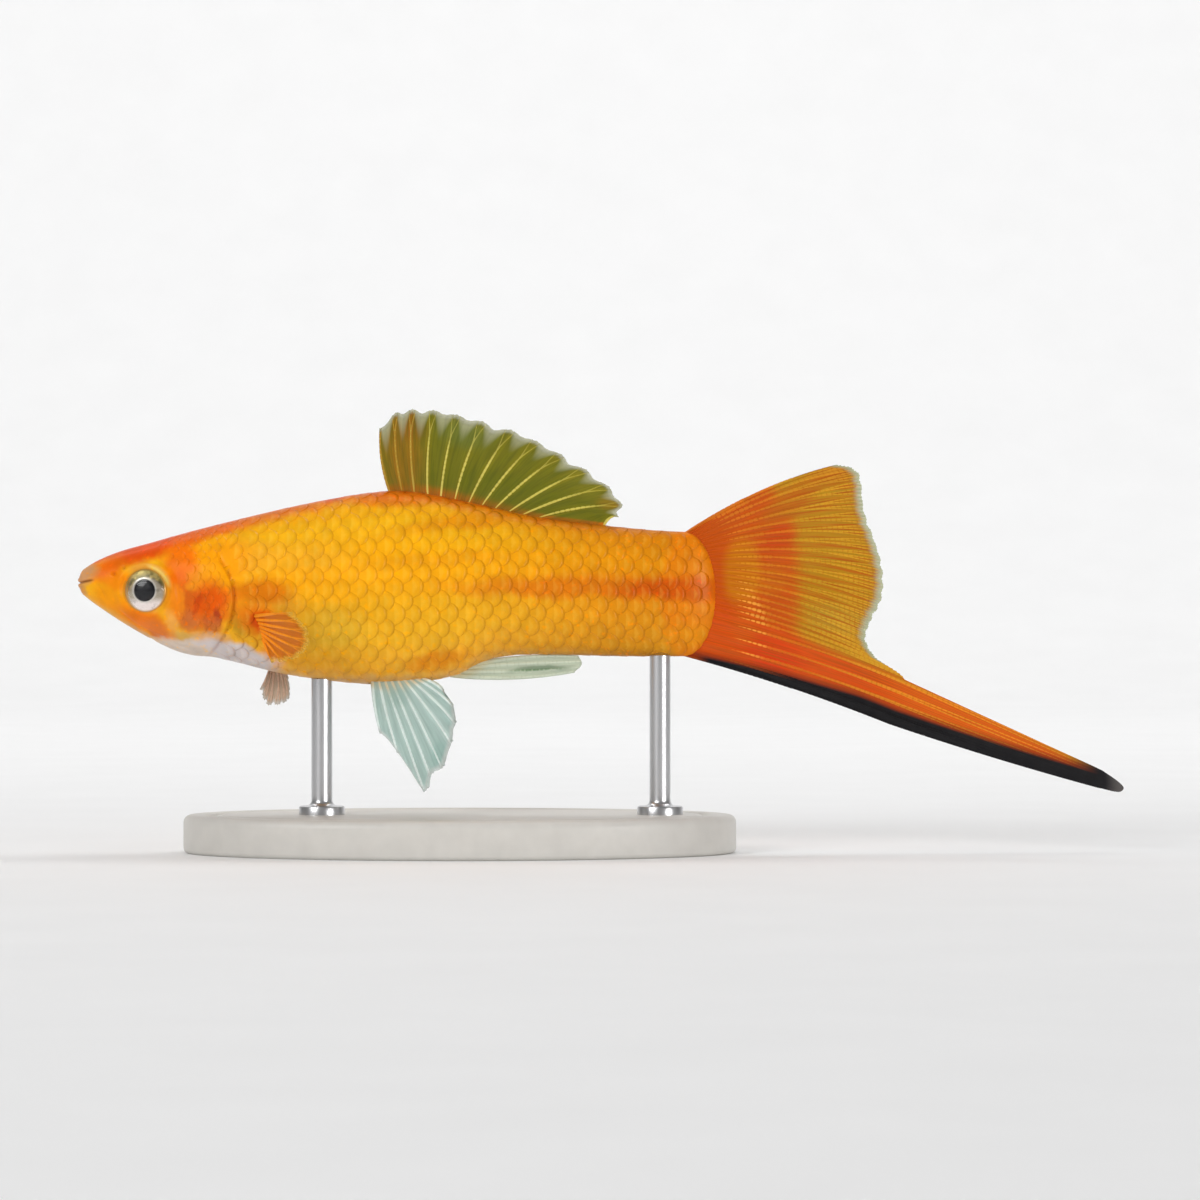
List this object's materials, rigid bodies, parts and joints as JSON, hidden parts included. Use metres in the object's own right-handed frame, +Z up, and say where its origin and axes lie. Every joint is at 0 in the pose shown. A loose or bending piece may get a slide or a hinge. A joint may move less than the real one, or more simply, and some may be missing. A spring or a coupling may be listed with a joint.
{
  "type": "male swordtail display model",
  "caption": "Life-size golden swordtail with raised dorsal fin, fan tail and long sword, held above a plain oval base by slim rods.",
  "frame": {"origin": "on the surface that the base stands on, under the middle of the whole length from snout to sword tip, in the fish's middle plane", "axes": "+X from the head to the sword tip, +Y to the fish's right side, +Z up"},
  "size_m": [0.1099, 0.032, 0.0468],
  "materials": {
    "body_skin": "scaled skin, golden yellow and orange, wet sheen",
    "eye": "clear domed eye, silver iris, dark pupil",
    "fin_olive": "translucent olive membrane with yellow rays",
    "fin_orange": "translucent orange membrane with branched rays",
    "fin_pale": "translucent pale membrane with whitish rays",
    "stand_base": "satin, pale",
    "stand_rod": "fine turned"
  },
  "bodies": {
    "root": {"head": "body_skin", "lower_jaw": "body_skin", "torso": "body_skin", "tail_stalk": "body_skin", "eye_left": "eye", "eye_right": "eye", "dorsal_fin": "fin_olive", "caudal_fin": "fin_orange", "sword": "fin_orange", "pectoral_fin_left": "fin_orange", "pectoral_fin_right": "fin_orange", "pelvic_fin_left": "fin_pale", "pelvic_fin_right": "fin_pale", "gonopodium": "fin_pale", "stand_base": "stand_base", "stand_rod_front": "stand_rod", "stand_rod_rear": "stand_rod"}
  },
  "joints": []
}
